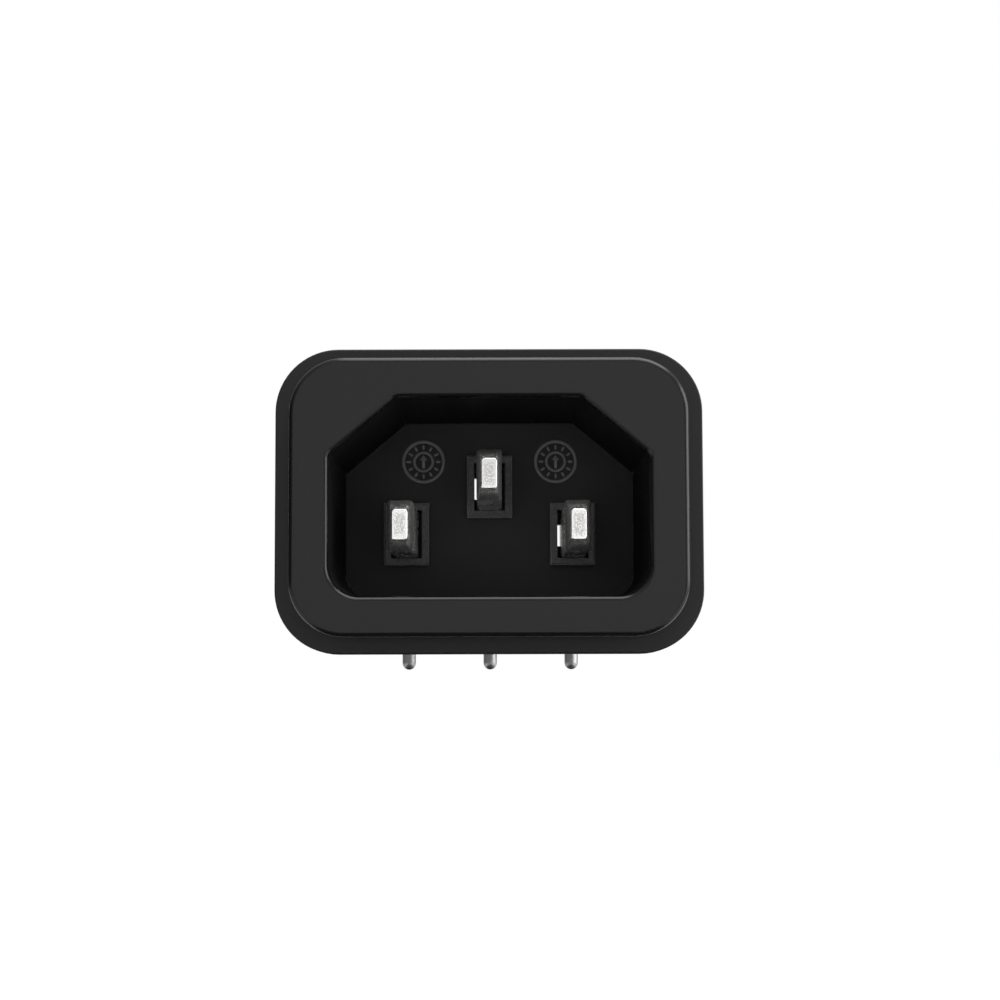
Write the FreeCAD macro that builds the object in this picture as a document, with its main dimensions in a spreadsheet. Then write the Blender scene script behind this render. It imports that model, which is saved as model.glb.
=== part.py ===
import FreeCAD, Part
import Sketcher
import math
import os

# Three-blade charging inlet, in millimetres.
# X runs to the right seen from the front, Y to the rear, Z up.
# The origin lies on the plug's axis, in the plane of the flange's front seat.

SIZES = (
    ("mouth_width", 24.7, "clear width of the plug cavity at the bezel face"),
    ("mouth_height", 15.3, "clear height of the plug cavity at the bezel face"),
    ("mouth_slant_across", 5.2, "run of the slanted top corner along the width"),
    ("mouth_slant_down", 4.4, "run of the slanted top corner along the height"),
    ("mouth_slant_round", 0.8, "rounding where the slant meets the top and the side"),
    ("mouth_low_round", 2.4, "rounding of the two lower cavity corners"),
    ("mouth_depth", 16.0, "depth of the cavity from the bezel face to the base wall"),
    ("mouth_draft", 0.7, "mould draft of the cavity walls in degrees"),
    ("lip_round", 0.38, "rounding of the cavity's lip"),
    ("bezel_band_side", 3.05, "bezel face beside the cavity"),
    ("bezel_band_top", 3.1, "bezel face above and below the cavity"),
    ("bezel_rise", 4.4, "bezel face ahead of the flange's seat"),
    ("bezel_corner", 4.3, "corner rounding of the bezel outline"),
    ("bezel_edge", 0.36, "rounding of the bezel's front edge"),
    ("flange_ledge_side", 1.5, "flange beyond the bezel at the sides"),
    ("flange_ledge_top", 1.3, "flange beyond the bezel at the top and bottom"),
    ("flange_corner", 5.0, "corner rounding of the flange outline"),
    ("flange_thickness", 2.0, "flange from its front seat to its rear face"),
    ("flange_edge", 0.12, "rounding of the flange's front edge"),
    ("flange_root", 0.5, "bevel where the body meets the flange"),
    ("body_wall", 1.7, "wall of the body round the cavity"),
    ("body_slant_extra", 1.0, "body's slant beyond the cavity's, which keeps the wall even"),
    ("base_thickness", 2.4, "base wall that carries the blades"),
    ("collar_wall", 0.6, "rim of the collar round a blade's root"),
    ("collar_rise", 1.0, "collar ahead of the base wall"),
    ("collar_edge", 0.14, "bevel of the collar's front edge"),
    ("hood_depth", 3.6, "hood behind the base wall"),
    ("hood_wall", 1.4, "wall of the hood"),
    ("hood_edge", 0.3, "bevel of the hood's rear edge"),
    ("rib_thickness", 1.2, "barrier rib between two tails"),
    ("post_diameter", 2.0, "locating post"),
    ("post_length", 2.2, "locating post below the body"),
    ("post_spacing", 17.0, "from one locating post to the other"),
    ("post_setback", 7.0, "locating posts behind the flange's seat"),
    ("post_lead", 0.35, "bevel at a locating post's end"),
    ("blade_pitch", 14.0, "from the left blade to the right one"),
    ("earth_rise", 4.0, "earth blade above the other two"),
    ("blade_thickness", 2.0, "blade across"),
    ("blade_height", 4.0, "blade from its lower edge to its upper edge"),
    ("blade_corner", 0.25, "rounding of a blade's long edges"),
    ("blade_recess", 2.6, "blade tip behind the bezel face"),
    ("tip_thickness", 1.25, "flat at the blade's tip, across"),
    ("tip_height", 2.4, "flat at the blade's tip, up and down"),
    ("tip_corner", 0.3, "rounding between the tip's tapered faces"),
    ("tip_edge", 0.12, "rounding round the flat at the tip"),
    ("tip_lead", 1.6, "length of the tapered tip"),
    ("seat_depth", 1.2, "blade's seat below the base wall's front face"),
    ("seat_clearance", 0.03, "blade edge to the seat's upper and lower walls"),
    ("seat_side_gap", 0.3, "blade side to the seat's side wall"),
    ("slit_height", 1.85, "slit through the base beside a blade"),
    ("tail_diameter", 1.15, "round solder tail"),
    ("tail_clearance", 0.04, "tail to the wall of its hole in the base"),
    ("tail_setback", 2.1, "tail's centre line behind the base wall"),
    ("tail_bend", 1.5, "bend of the tail on its centre line"),
    ("tail_reach", 4.05, "tail tip below the body's underside"),
)

QUARTER_TURN = math.pi / 2
NEAR = 1e-4


class Length:
    """A length held both as a sheet expression and as its present number."""

    def __init__(self, text, number):
        self.text = text
        self.number = number

    def __add__(self, other):
        return Length(f"({self.text} + {other.text})", self.number + other.number)

    def __sub__(self, other):
        return Length(f"({self.text} - {other.text})", self.number - other.number)

    def __mul__(self, factor):
        return Length(f"({self.text} * {factor})", self.number * factor)

    def __truediv__(self, factor):
        return Length(f"({self.text} / {factor})", self.number / factor)

    def __neg__(self):
        return Length(f"(-{self.text})", -self.number)


os.makedirs("parts", exist_ok=True)
doc = FreeCAD.newDocument("charging_inlet")
sheet = doc.addObject("Spreadsheet::Sheet", "Sizes")
size = {}
for row, (alias, number, meaning) in enumerate(SIZES, start=1):
    sheet.set(f"A{row}", alias)
    sheet.set(f"B{row}", str(number))
    sheet.set(f"C{row}", meaning)
    sheet.setAlias(f"B{row}", alias)
    size[alias] = Length(f"Sizes.{alias}", number)
doc.recompute()

# Stations along the plug's axis
nowhere = Length("0", 0.0)
bezel_face = -size["bezel_rise"]
flange_rear = size["flange_thickness"]
base_front = size["mouth_depth"] - size["bezel_rise"]
base_rear = base_front + size["base_thickness"]
collar_front = base_front - size["collar_rise"]
hood_end = base_rear + size["hood_depth"]
blade_seat = base_front + size["seat_depth"]
blade_tip = size["blade_recess"] - size["bezel_rise"]
lead_start = blade_tip + size["tip_lead"]
tail_axis = base_rear + size["tail_setback"]

# Half widths and half heights of the housing
mouth_side = size["mouth_width"] / 2
mouth_top = size["mouth_height"] / 2
bezel_side = mouth_side + size["bezel_band_side"]
bezel_top = mouth_top + size["bezel_band_top"]
flange_side = bezel_side + size["flange_ledge_side"]
flange_top = bezel_top + size["flange_ledge_top"]
body_side = mouth_side + size["body_wall"]
body_top = mouth_top + size["body_wall"]
hood_side = body_side - size["hood_wall"]
hood_top = body_top - size["hood_wall"]

# Blade places: name, centre across, centre up
blade_side = size["blade_pitch"] / 2
blade_rise = size["earth_rise"] / 2
BLADES = (
    ("left", -blade_side, -blade_rise),
    ("right", blade_side, -blade_rise),
    ("earth", nowhere, blade_rise),
)


def bind(feature, name, length):
    """Drive a property of a feature from the sheet."""
    feature.setExpression(name, length.text)


def attach(body, item, role, offset):
    """Lay an item on one of the body's own origin planes, moved along the plane's normal."""
    planes = {feature.Role: feature for feature in body.Origin.OriginFeatures}
    item.AttachmentSupport = [(planes[role], "")]
    item.MapMode = "FlatFace"
    bind(item, "AttachmentOffset.Base.z", offset)


def sketch_on(body, name, role, offset):
    """An empty sketch on one of the body's own origin planes, moved along the plane's normal."""
    sketch = body.newObject("Sketcher::SketchObject", name)
    attach(body, sketch, role, offset)
    return sketch


def cross_section(body, name, station):
    """An empty sketch across the plug's axis; the plane's normal points to the front."""
    return sketch_on(body, name, "XZ_Plane", -station)


def hold(sketch, kind, geometry, end, length):
    """Fix one point's distance from the sketch origin along one direction."""
    if length.number < 0:
        index = sketch.addConstraint(Sketcher.Constraint(kind, geometry, end, -1, 1, -length.number))
        sketch.setExpression(f"Constraints[{index}]", (-length).text)
    else:
        index = sketch.addConstraint(Sketcher.Constraint(kind, -1, 1, geometry, end, length.number))
        sketch.setExpression(f"Constraints[{index}]", length.text)


def place_point(sketch, geometry, end, across, up):
    """Fix one point of a sketch by its two distances from the origin."""
    hold(sketch, "DistanceX", geometry, end, across)
    hold(sketch, "DistanceY", geometry, end, up)


def polygon(sketch, corners):
    """A straight-sided closed outline through the corners, given in order."""
    points = [FreeCAD.Vector(across.number, up.number, 0) for across, up in corners]
    following = points[1:] + points[:1]
    lines = [Part.LineSegment(start, end) for start, end in zip(points, following)]
    first = sketch.addGeometry(lines, False)[0]
    count = len(corners)
    for turn, (across, up) in enumerate(corners):
        line = first + turn
        after = first + (turn + 1) % count
        sketch.addConstraint(Sketcher.Constraint("Coincident", line, 2, after, 1))
        place_point(sketch, line, 1, across, up)


def rectangle(sketch, left, right, low, high):
    """A closed rectangle between four lengths."""
    polygon(sketch, ((left, low), (right, low), (right, high), (left, high)))


def frame(sketch, across, up, side, top):
    """A closed rectangle about a centre, with its half width and half height."""
    rectangle(sketch, across - side, across + side, up - top, up + top)


def rounded_rectangle(sketch, side, top, corner):
    """A rectangle about the origin with equal rounded corners."""
    across = side.number
    up = top.number
    round_off = corner.number
    inner = across - round_off
    inner_up = up - round_off
    vector = FreeCAD.Vector
    lines = (
        Part.LineSegment(vector(-inner, up, 0), vector(inner, up, 0)),
        Part.LineSegment(vector(across, inner_up, 0), vector(across, -inner_up, 0)),
        Part.LineSegment(vector(inner, -up, 0), vector(-inner, -up, 0)),
        Part.LineSegment(vector(-across, -inner_up, 0), vector(-across, inner_up, 0)),
    )
    centres = ((inner, inner_up), (inner, -inner_up), (-inner, -inner_up), (-inner, inner_up))
    starts = (0.0, -QUARTER_TURN, math.pi, QUARTER_TURN)
    arcs = []
    for (centre_across, centre_up), begin in zip(centres, starts):
        circle = Part.Circle(vector(centre_across, centre_up, 0), vector(0, 0, 1), round_off)
        arcs.append(Part.ArcOfCircle(circle, begin, begin + QUARTER_TURN))
    line = sketch.addGeometry(list(lines), False)
    arc = sketch.addGeometry(arcs, False)
    for turn in range(4):
        sketch.addConstraint(Sketcher.Constraint("Tangent", line[turn], 2, arc[turn], 2))
        sketch.addConstraint(Sketcher.Constraint("Tangent", arc[turn], 1, line[(turn + 1) % 4], 1))
    for turn in (0, 2):
        sketch.addConstraint(Sketcher.Constraint("Horizontal", line[turn]))
        sketch.addConstraint(Sketcher.Constraint("Vertical", line[turn + 1]))
    for turn in (1, 2, 3):
        sketch.addConstraint(Sketcher.Constraint("Equal", arc[0], arc[turn]))
    radius = sketch.addConstraint(Sketcher.Constraint("Radius", arc[0], round_off))
    sketch.setExpression(f"Constraints[{radius}]", corner.text)
    hold(sketch, "DistanceY", line[0], 1, top)
    hold(sketch, "DistanceX", line[1], 1, side)
    hold(sketch, "DistanceY", line[2], 1, -top)
    hold(sketch, "DistanceX", line[3], 1, -side)


def circles(sketch, centres, diameter):
    """Equal circles about the given centres."""
    for across, up in centres:
        centre = FreeCAD.Vector(across.number, up.number, 0)
        circle = Part.Circle(centre, FreeCAD.Vector(0, 0, 1), diameter.number / 2)
        index = sketch.addGeometry(circle, False)
        width = sketch.addConstraint(Sketcher.Constraint("Diameter", index, diameter.number))
        sketch.setExpression(f"Constraints[{width}]", diameter.text)
        place_point(sketch, index, 3, across, up)


def slanted_outline(side, top, slant_across, slant_down):
    """Corners of the cavity's outline: a rectangle with its two top corners cut off at a slant."""
    return (
        (side, -top),
        (side, top - slant_down),
        (side - slant_across, top),
        (slant_across - side, top),
        (-side, top - slant_down),
        (-side, -top),
    )


def pad(body, name, sketch, length, to_rear):
    """Add material from a sketch, towards the rear or along the sketch's normal."""
    feature = body.newObject("PartDesign::Pad", name)
    feature.Profile = sketch
    feature.Reversed = to_rear
    bind(feature, "Length", length)
    doc.recompute()
    return feature


def pocket(body, name, sketch, length, to_front):
    """Cut material from a sketch, towards the front or against the sketch's normal."""
    before = body.Shape.Volume
    feature = body.newObject("PartDesign::Pocket", name)
    feature.Profile = sketch
    feature.Reversed = to_front
    bind(feature, "Length", length)
    doc.recompute()
    if feature.Shape.Volume >= before:
        raise RuntimeError(f"{name} cuts nothing")
    return feature


def dress(body, kind, name, measure, length, wanted):
    """Round or bevel every edge of the body that the given test picks."""
    base = body.Tip
    names = [f"Edge{number}" for number, edge in enumerate(base.Shape.Edges, start=1) if wanted(edge)]
    if not names:
        raise RuntimeError(f"{name} finds no edge")
    feature = body.newObject(kind, name)
    feature.Base = (base, names)
    bind(feature, measure, length)
    doc.recompute()
    return feature


def fillet(body, name, radius, wanted):
    """Round every edge of the body that the given test picks."""
    return dress(body, "PartDesign::Fillet", name, "Radius", radius, wanted)


def bevel(body, name, width, wanted):
    """Bevel every edge of the body that the given test picks."""
    return dress(body, "PartDesign::Chamfer", name, "Size", width, wanted)


def in_plane(edge, station):
    """True for an edge that lies across the axis at the given station."""
    box = edge.BoundBox
    return abs(box.YMin - station.number) < NEAR and abs(box.YMax - station.number) < NEAR


def touches(edge, station):
    """True for an edge whose front end lies at the given station."""
    return abs(edge.BoundBox.YMin - station.number) < NEAR


def within(edge, side, top):
    """True for an edge that lies inside the given half width and half height."""
    box = edge.BoundBox
    across = max(abs(box.XMin), abs(box.XMax))
    up = max(abs(box.ZMin), abs(box.ZMax))
    return across < side.number + NEAR and up < top.number + NEAR


def along_axis(edge, first, last):
    """True for a straight edge that runs from one station to another."""
    box = edge.BoundBox
    return abs(box.YMin - first.number) < NEAR and abs(box.YMax - last.number) < NEAR


def draft_walls(body, name, angle):
    """Narrow the cavity's walls towards the base wall, with the bezel face as the fixed plane."""
    base = body.Tip
    walls = []
    for number, face in enumerate(base.Shape.Faces, start=1):
        box = face.BoundBox
        if abs(box.YMin - bezel_face.number) < NEAR and abs(box.YMax - base_front.number) < NEAR:
            walls.append(f"Face{number}")
        if abs(box.YMin - bezel_face.number) < NEAR and abs(box.YMax - bezel_face.number) < NEAR:
            rim = f"Face{number}"
    feature = body.newObject("PartDesign::Draft", name)
    doc.recompute()
    feature.Base = (base, walls)
    feature.NeutralPlane = (base, [rim])
    feature.Reversed = True
    bind(feature, "Angle", angle)
    doc.recompute()
    if feature.Shape.Volume <= base.Shape.Volume:
        raise RuntimeError(f"{name} does not narrow the cavity")
    return feature


def build_housing():
    """The moulding: bezel, flange, body, plug cavity, collars, hood, ribs and posts."""
    body = doc.addObject("PartDesign::Body", "housing")
    body.Label = "housing"

    flange_outline = cross_section(body, "flange_outline", nowhere)
    rounded_rectangle(flange_outline, flange_side, flange_top, size["flange_corner"])
    pad(body, "flange", flange_outline, size["flange_thickness"], True)
    fillet(body, "flange_edges", size["flange_edge"], lambda edge: in_plane(edge, nowhere))

    bezel_outline = cross_section(body, "bezel_outline", nowhere)
    rounded_rectangle(bezel_outline, bezel_side, bezel_top, size["bezel_corner"])
    pad(body, "bezel", bezel_outline, size["bezel_rise"], False)
    fillet(body, "bezel_edges", size["bezel_edge"], lambda edge: in_plane(edge, bezel_face))

    body_outline = cross_section(body, "body_outline", flange_rear)
    slant = (size["mouth_slant_across"], size["mouth_slant_down"])
    body_slant = [run + size["body_slant_extra"] for run in slant]
    polygon(body_outline, slanted_outline(body_side, body_top, *body_slant))
    pad(body, "body", body_outline, hood_end - flange_rear, True)
    low_round = size["mouth_low_round"] + size["body_wall"]
    fillet(body, "body_low_corners", low_round,
           lambda edge: along_axis(edge, flange_rear, hood_end) and edge.CenterOfMass.z < 0)
    fillet(body, "body_slant_corners", size["mouth_slant_round"] + size["body_wall"],
           lambda edge: along_axis(edge, flange_rear, hood_end) and edge.CenterOfMass.z > 0)
    bevel(body, "hood_edges", size["hood_edge"], lambda edge: in_plane(edge, hood_end))
    bevel(body, "flange_root", size["flange_root"],
          lambda edge: in_plane(edge, flange_rear) and within(edge, body_side, body_top))

    mouth_outline = cross_section(body, "mouth_outline", bezel_face)
    polygon(mouth_outline, slanted_outline(mouth_side, mouth_top, *slant))
    pocket(body, "cavity", mouth_outline, size["mouth_depth"], False)
    draft_walls(body, "cavity_draft", size["mouth_draft"])
    fillet(body, "cavity_low_corners", size["mouth_low_round"],
           lambda edge: along_axis(edge, bezel_face, base_front) and edge.CenterOfMass.z < 0)
    fillet(body, "cavity_slant_corners", size["mouth_slant_round"],
           lambda edge: along_axis(edge, bezel_face, base_front) and edge.CenterOfMass.z > 0)
    fillet(body, "lip", size["lip_round"],
           lambda edge: in_plane(edge, bezel_face) and within(edge, mouth_side, mouth_top))

    seat_side = size["blade_thickness"] / 2 + size["seat_side_gap"]
    seat_top = size["blade_height"] / 2 + size["seat_clearance"]
    collar_side = seat_side + size["collar_wall"]
    collar_top = seat_top + size["collar_wall"]
    collar_outline = cross_section(body, "collar_outline", base_front)
    for name, across, up in BLADES:
        frame(collar_outline, across, up, collar_side, collar_top)
    pad(body, "collars", collar_outline, size["collar_rise"], False)
    bevel(body, "collar_edges", size["collar_edge"], lambda edge: in_plane(edge, collar_front))

    seat_outline = cross_section(body, "seat_outline", collar_front)
    for name, across, up in BLADES:
        frame(seat_outline, across, up, seat_side, seat_top)
    pocket(body, "blade_seats", seat_outline, size["collar_rise"] + size["seat_depth"], False)

    # The hood's side walls stop above the body's rounded lower corners.
    hood_floor = low_round - body_top
    chamber_outline = cross_section(body, "chamber_outline", hood_end)
    right_foot = ((flange_side, -flange_top), (flange_side, hood_floor), (hood_side, hood_floor))
    left_foot = ((-hood_side, hood_floor), (-flange_side, hood_floor), (-flange_side, -flange_top))
    roof = slanted_outline(hood_side, hood_top, *slant)[1:5]
    polygon(chamber_outline, right_foot + roof + left_foot)
    pocket(body, "chamber", chamber_outline, size["hood_depth"], True)

    rib_outline = cross_section(body, "rib_outline", base_rear)
    half_rib = size["rib_thickness"] / 2
    for middle in (-blade_side / 2, blade_side / 2):
        rectangle(rib_outline, middle - half_rib, middle + half_rib, -body_top, hood_top)
    pad(body, "barrier_ribs", rib_outline, size["hood_depth"], True)

    tail_holes = cross_section(body, "tail_holes", blade_seat)
    centres = [(across, up) for name, across, up in BLADES]
    circles(tail_holes, centres, size["tail_diameter"] + size["tail_clearance"] * 2)
    pocket(body, "tail_passages", tail_holes, size["base_thickness"], False)

    slit_outline = cross_section(body, "slit_outline", blade_seat)
    half_slit = size["slit_height"] / 2
    half_blade = size["blade_thickness"] / 2
    for name, across, up in BLADES:
        rectangle(slit_outline, across - seat_side, across - half_blade, up - half_slit, up + half_slit)
    pocket(body, "slits", slit_outline, size["base_thickness"], False)

    # The posts start inside the wall, so that they also grow out of the rounded lower corners.
    post_root = size["body_wall"] / 2
    post_places = sketch_on(body, "post_places", "XY_Plane", post_root - body_top)
    half_spacing = size["post_spacing"] / 2
    circles(post_places, ((-half_spacing, size["post_setback"]), (half_spacing, size["post_setback"])),
            size["post_diameter"])
    pad(body, "posts", post_places, post_root + size["post_length"], True)
    post_end = -body_top - size["post_length"]
    bevel(body, "post_leads", size["post_lead"],
          lambda edge: edge.BoundBox.ZMax < post_end.number + NEAR
          and edge.BoundBox.YMin > flange_rear.number + NEAR)
    return body


def coin(body, name, role, outlines, through):
    """Press the given outlines away on both sides of one of the body's origin planes."""
    sketch = sketch_on(body, f"{name}_outline", role, nowhere)
    for corners in outlines:
        polygon(sketch, corners)
    feature = pocket(body, name, sketch, through, False)
    feature.SideType = "Symmetric"
    doc.recompute()
    return feature


def build_terminal(name, across, up):
    """One terminal: a flat blade with a tapered tip and a round tail bent down behind the base."""
    body = doc.addObject("PartDesign::Body", f"{name}_terminal")
    body.Label = f"{name}_terminal"
    bind(body, "Placement.Base.x", across)
    bind(body, "Placement.Base.z", up)

    root = cross_section(body, f"{name}_root", blade_seat)
    rounded_rectangle(root, size["blade_thickness"] / 2, size["blade_height"] / 2, size["blade_corner"])
    pad(body, f"{name}_blade", root, blade_seat - blade_tip, False)

    # The tip is coined from all four sides down to a smaller flat.
    blade_flank = size["blade_thickness"] / 2
    tip_flank = size["tip_thickness"] / 2
    flanks = [((tip, blade_tip), (full, lead_start), (full, blade_tip))
              for tip, full in ((tip_flank, blade_flank), (-tip_flank, -blade_flank))]
    coin(body, f"{name}_coined_sides", "XY_Plane", flanks, size["blade_height"])
    blade_edge = size["blade_height"] / 2
    tip_edge = size["tip_height"] / 2
    edges = [((blade_tip, tip), (lead_start, full), (blade_tip, full))
             for tip, full in ((tip_edge, blade_edge), (-tip_edge, -blade_edge))]
    coin(body, f"{name}_coined_edges", "YZ_Plane", edges, size["blade_thickness"])
    fillet(body, f"{name}_tip_corners", size["tip_corner"],
           lambda edge: touches(edge, blade_tip) and not in_plane(edge, blade_tip))
    fillet(body, f"{name}_tip_edge", size["tip_edge"], lambda edge: in_plane(edge, blade_tip))

    # The tail's centre line runs straight back, turns down and stops at the centre of its round end.
    tail_radius = size["tail_diameter"] / 2
    end_level = tail_radius - body_top - size["tail_reach"] - up
    bend = size["tail_bend"]
    path = sketch_on(body, f"{name}_tail_path", "YZ_Plane", nowhere)
    vector = FreeCAD.Vector
    turn_start = tail_axis - bend
    straight = Part.LineSegment(vector(blade_seat.number, 0, 0), vector(turn_start.number, 0, 0))
    circle = Part.Circle(vector(turn_start.number, -bend.number, 0), vector(0, 0, 1), bend.number)
    turn = Part.ArcOfCircle(circle, 0.0, QUARTER_TURN)
    drop_start = vector(tail_axis.number, -bend.number, 0)
    drop = Part.LineSegment(drop_start, vector(tail_axis.number, end_level.number, 0))
    line, arc, fall = path.addGeometry([straight, turn, drop], False)
    path.addConstraint(Sketcher.Constraint("Tangent", line, 2, arc, 2))
    path.addConstraint(Sketcher.Constraint("Tangent", arc, 1, fall, 1))
    path.addConstraint(Sketcher.Constraint("PointOnObject", line, 1, -1))
    path.addConstraint(Sketcher.Constraint("Horizontal", line))
    path.addConstraint(Sketcher.Constraint("Vertical", fall))
    radius = path.addConstraint(Sketcher.Constraint("Radius", arc, bend.number))
    path.setExpression(f"Constraints[{radius}]", bend.text)
    hold(path, "DistanceX", line, 1, blade_seat)
    place_point(path, fall, 2, tail_axis, end_level)

    wire = cross_section(body, f"{name}_wire", blade_seat)
    circles(wire, ((nowhere, nowhere),), size["tail_diameter"])
    tail = body.newObject("PartDesign::AdditivePipe", f"{name}_tail")
    tail.Profile = wire
    tail.Spine = (path, [])
    doc.recompute()
    ball = body.newObject("PartDesign::AdditiveSphere", f"{name}_tail_end")
    attach(body, ball, "XY_Plane", end_level)
    bind(ball, "AttachmentOffset.Base.y", tail_axis)
    bind(ball, "Radius", tail_radius)
    doc.recompute()
    return body


bodies = [build_housing()]
bodies += [build_terminal(name, across, up) for name, across, up in BLADES]
doc.recompute()

for item in doc.Objects:
    if "Invalid" in item.State or "Error" in item.State:
        raise RuntimeError(f"{item.Label} is in state {item.State}")
for body in bodies:
    if body.Shape.isNull() or not body.Shape.isValid():
        raise RuntimeError(f"{body.Label} has no sound shape")
    body.Shape.exportStep(f"parts/{body.Label}.step")
    print(body.Label, round(body.Shape.Volume, 1), body.Shape.BoundBox)
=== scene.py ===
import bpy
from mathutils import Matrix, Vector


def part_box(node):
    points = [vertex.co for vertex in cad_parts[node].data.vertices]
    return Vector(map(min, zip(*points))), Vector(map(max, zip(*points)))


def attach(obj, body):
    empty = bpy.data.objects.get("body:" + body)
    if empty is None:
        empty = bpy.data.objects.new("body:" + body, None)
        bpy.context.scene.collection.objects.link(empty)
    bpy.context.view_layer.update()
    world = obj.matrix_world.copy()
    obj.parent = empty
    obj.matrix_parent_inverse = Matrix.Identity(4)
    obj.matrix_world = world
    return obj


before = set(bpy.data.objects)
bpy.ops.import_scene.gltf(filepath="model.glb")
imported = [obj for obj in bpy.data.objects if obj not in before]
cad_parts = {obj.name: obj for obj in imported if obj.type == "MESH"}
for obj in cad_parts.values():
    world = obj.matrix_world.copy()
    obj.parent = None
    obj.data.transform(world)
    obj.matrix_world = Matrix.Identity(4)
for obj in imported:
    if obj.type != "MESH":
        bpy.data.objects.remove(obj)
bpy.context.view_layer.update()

import math

import bpy
import numpy as np
from mathutils import Euler, Matrix, Vector

bl_info = {
    "name": "Charging Inlet Dresser",
    "version": (1, 0, 0),
    "blender": (4, 5, 0),
    "location": "View3D > Sidebar > Inlet",
    "description": "Finishes, mould marks and a studio for a three-blade charging inlet",
    "category": "Object",
}

# The frame is in metres: X to the right, Y to the rear from the flange's front seat, Z up.
MM = 0.001
FULL_TURN = 2.0 * math.pi
QUARTER_TURN = 0.5 * math.pi
SHARP_ANGLE = math.radians(40.0)
WHITE = (1.0, 1.0, 1.0, 1.0)
VECTOR, NUMBER = "NodeSocketVector", "NodeSocketFloat"
NODE_STEP = 220.0
# A mix node's two inputs and its result, which share their names, by what it mixes.
MIX_SOCKETS = {"RGBA": (6, 7, 2), "FLOAT": (2, 3, 0)}
HOUSING_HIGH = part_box("housing")[1]
TERMINALS = ("left_terminal", "right_terminal", "earth_terminal")
INSERT_FINISH = "insert_black_moulding"

# Front outlines of the moulding: half width, half height and corner.
BEZEL_OUTLINE = (15.4 * MM, 10.75 * MM, 4.3 * MM)
MOUTH_OUTLINE = (12.35 * MM, 7.65 * MM, 2.4 * MM)
# The mouth's slanted top corners: the way they face, their distance from the middle, and the
# heights between which they start to count.
SLANT_FACING = (0.646, 0.0, 0.763)
SLANT_REACH = 10.456 * MM
SLANT_START = (-1.0 * MM, 1.0 * MM)

# Bands in which one finish passes into the next, by distance outside an outline.
RIM_BAND = (-0.40 * MM, -0.32 * MM)
LIP_BAND = (0.34 * MM, 0.42 * MM)
CAVITY_BAND = (0.05 * MM, 0.15 * MM)
BASE_BAND = (-0.23 * MM, -0.205 * MM)
# The same, by station along Y.
FRONT_EDGES = (-3.95 * MM, -3.75 * MM)
CAVITY_START = (-4.1 * MM, -3.8 * MM)
CAVITY_END = (12.9 * MM, 13.1 * MM)
BASE_START = (9.6 * MM, 10.4 * MM)
COLLAR_END = (11.45 * MM, 11.57 * MM)
BEVEL_START = (10.61 * MM, 10.65 * MM)
BEVEL_END = (10.74 * MM, 10.80 * MM)
DIAL_START = (10.6 * MM, 11.2 * MM)
BLADE_END = (-1.74 * MM, -1.66 * MM)
TAPER_END = (-0.3 * MM, 0.1 * MM)
BURR_END = (-1.5 * MM, -0.7 * MM)

# The grain and the hairlines that the finishes share.
FINE_SCALE, FINE_SHARE, FINE_BAND = 1.7, 0.45, (0.3, 0.7)
MOTTLE_SCALE, MOTTLE_DETAIL = 160.0, 4.0
HAIR_DETAIL, HAIR_BAND = 5.0, (0.0, 0.035)
HAIR_PATCH_SCALE, HAIR_PATCH_BAND = 330.0, (0.45, 0.7)
GRAIN_BAND = (0.2, 0.9)

# The moulding: shares of its colours, and its roughness.
MOTTLE_SHARE = 0.86
# Darker burnished edges: partly polish, partly painted shade.
EDGE_POLISH_AND_PAINTED_SHADE_SHARE = 0.4
SCUFF_SHARES = (0.3, 0.85)
# Painted highlight on the collar bevels, as a share of the collar colour.
BEVEL_PAINTED_HIGHLIGHT_SHARE = 2.0
SATIN_SPREAD = (-0.02, 0.03)
COLLAR_ROUGHNESS = (0.42, 0.27)
RUB_STRETCH, RUB_SCALE, RUB_POLISH = (1.0, 1.0, 7.0), 420.0, 0.05
# The marks' plastic. Its mottle share also lightens the dials as a painted highlight.
INSERT_MOTTLE_AND_DIAL_HIGHLIGHT_SHARE, INSERT_GRAIN_SHARE = 1.5, 0.5
INSERT_ROUGHNESS, INSERT_SPECULAR = (0.3, 0.38), 0.5

# The terminals: the blades' spacing across, and their height above or below the middle.
BLADE_PITCH, BLADE_OFFSET = 7.0 * MM, 2.0 * MM
# Their drawn lines, wear, burrs with painted glints, and tinning.
DRAWN_ALONG_BLADE, DRAWN_ALONG_TAIL = (6.0, 0.3, 6.0), (6.0, 6.0, 0.3)
DRAWN_SCALE, DRAWN_DEPTH, DRAWN_ROUGHNESS = 900.0, 0.0002 * MM, 0.08
PLATING_GRAIN, BURR_GRAIN = 0.22 * MM, 0.24 * MM
WORN_ACROSS, WORN_UP = (0.25 * MM, 0.55 * MM), (0.6 * MM, 1.1 * MM)
WORN_GRAIN, WORN_SHARE = (0.1, 0.8), 0.6
TAPER_SHARES, SATIN_SHARE = (0.5, 1.0), 0.35
BURR_SHARES, BURR_BAND, BURR_AND_GLINT_LOSS = (1.0, 0.15), (0.70, 0.78), 0.75
SHANK_METAL, TAPER_METAL = 0.78, 0.955
DULL_ROUGHNESS, TINNED_ROUGHNESS = 0.38, 0.42
TINNING_BLEND = 0.6 * MM

# A dial's forms as shares of its radius, and the rise of its hub and ticks as a share of its rim's.
RING_WIDTH = 0.085
HUB_REACH, HUB_WIDTH = 0.46, 0.07
TICK_REACH, TICK_LENGTH, TICK_WIDTH = 0.73, 0.12, 0.06
POINTER_LENGTH, POINTER_SHAFT, POINTER_HEAD = 0.66, 0.07, 0.2
DIAL_LOW, DIAL_TICKS = 0.8, 12
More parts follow.
